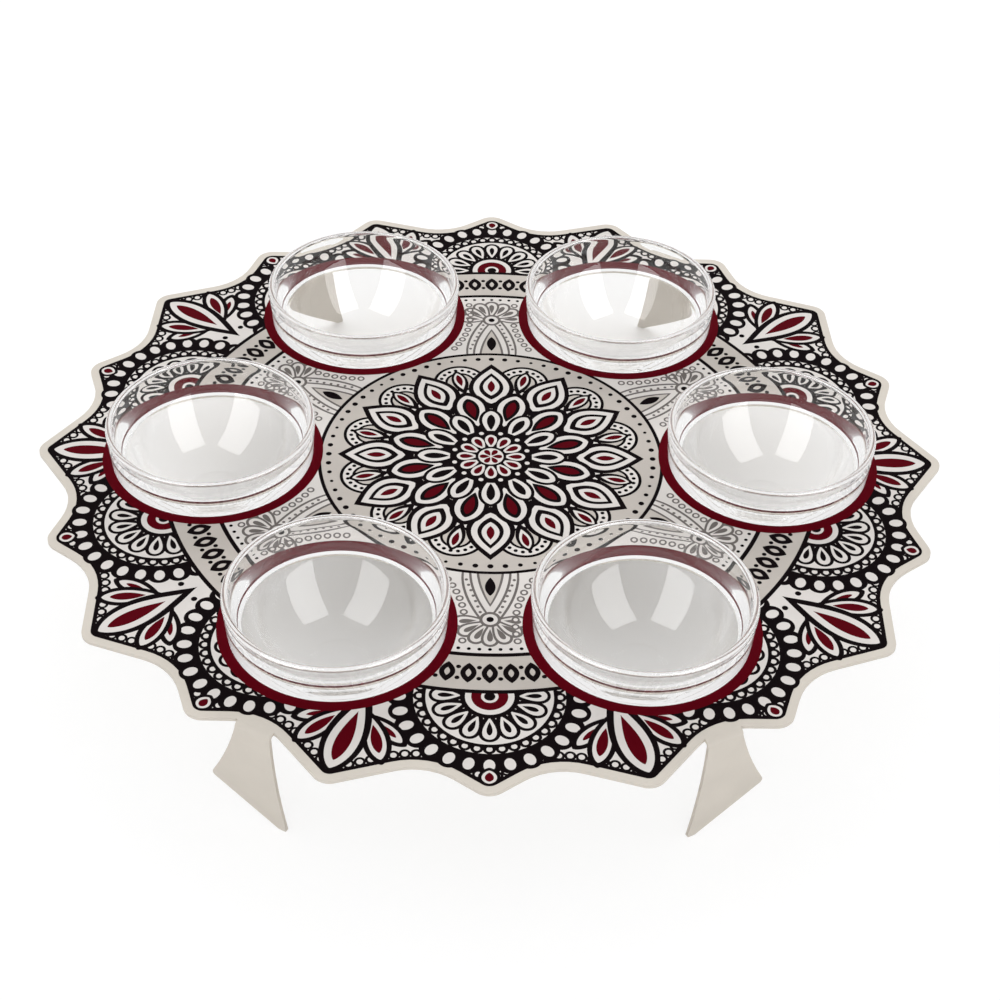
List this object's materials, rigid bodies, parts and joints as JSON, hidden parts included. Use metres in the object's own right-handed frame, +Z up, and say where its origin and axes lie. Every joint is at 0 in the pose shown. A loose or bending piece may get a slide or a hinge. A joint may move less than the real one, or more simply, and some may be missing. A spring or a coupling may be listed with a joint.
{
  "type": "seder plate",
  "caption": "Footed metal serving plate with a wavy lobed edge and round holes, each holding a clear glass bowl that stands on its stepped band and lifts out.",
  "frame": {"origin": "on the table, under the middle of the plate", "axes": "+Z up; +X to the right along the longest width; -Y towards the front"},
  "size_m": [0.399, 0.39, 0.0708],
  "materials": {
    "coated_sheet": null,
    "bowl_glass": "clear pressed glass with a fire-polished rim"
  },
  "bodies": {
    "plate": {"plate": "coated_sheet"},
    "bowl_right": {"bowl_right": "bowl_glass"},
    "bowl_back_right": {"bowl_back_right": "bowl_glass"},
    "bowl_back_left": {"bowl_back_left": "bowl_glass"},
    "bowl_left": {"bowl_left": "bowl_glass"},
    "bowl_front_left": {"bowl_front_left": "bowl_glass"},
    "bowl_front_right": {"bowl_front_right": "bowl_glass"}
  },
  "joints": [
    {"name": "bowl_right_lift", "type": "slide", "parent": "plate", "child": "bowl_right", "axis": [0, 0, 1], "range_m": [0, 0.06]},
    {"name": "bowl_back_right_lift", "type": "slide", "parent": "plate", "child": "bowl_back_right", "axis": [0, 0, 1], "range_m": [0, 0.06]},
    {"name": "bowl_back_left_lift", "type": "slide", "parent": "plate", "child": "bowl_back_left", "axis": [0, 0, 1], "range_m": [0, 0.06]},
    {"name": "bowl_left_lift", "type": "slide", "parent": "plate", "child": "bowl_left", "axis": [0, 0, 1], "range_m": [0, 0.06]},
    {"name": "bowl_front_left_lift", "type": "slide", "parent": "plate", "child": "bowl_front_left", "axis": [0, 0, 1], "range_m": [0, 0.06]},
    {"name": "bowl_front_right_lift", "type": "slide", "parent": "plate", "child": "bowl_front_right", "axis": [0, 0, 1], "range_m": [0, 0.06]}
  ]
}
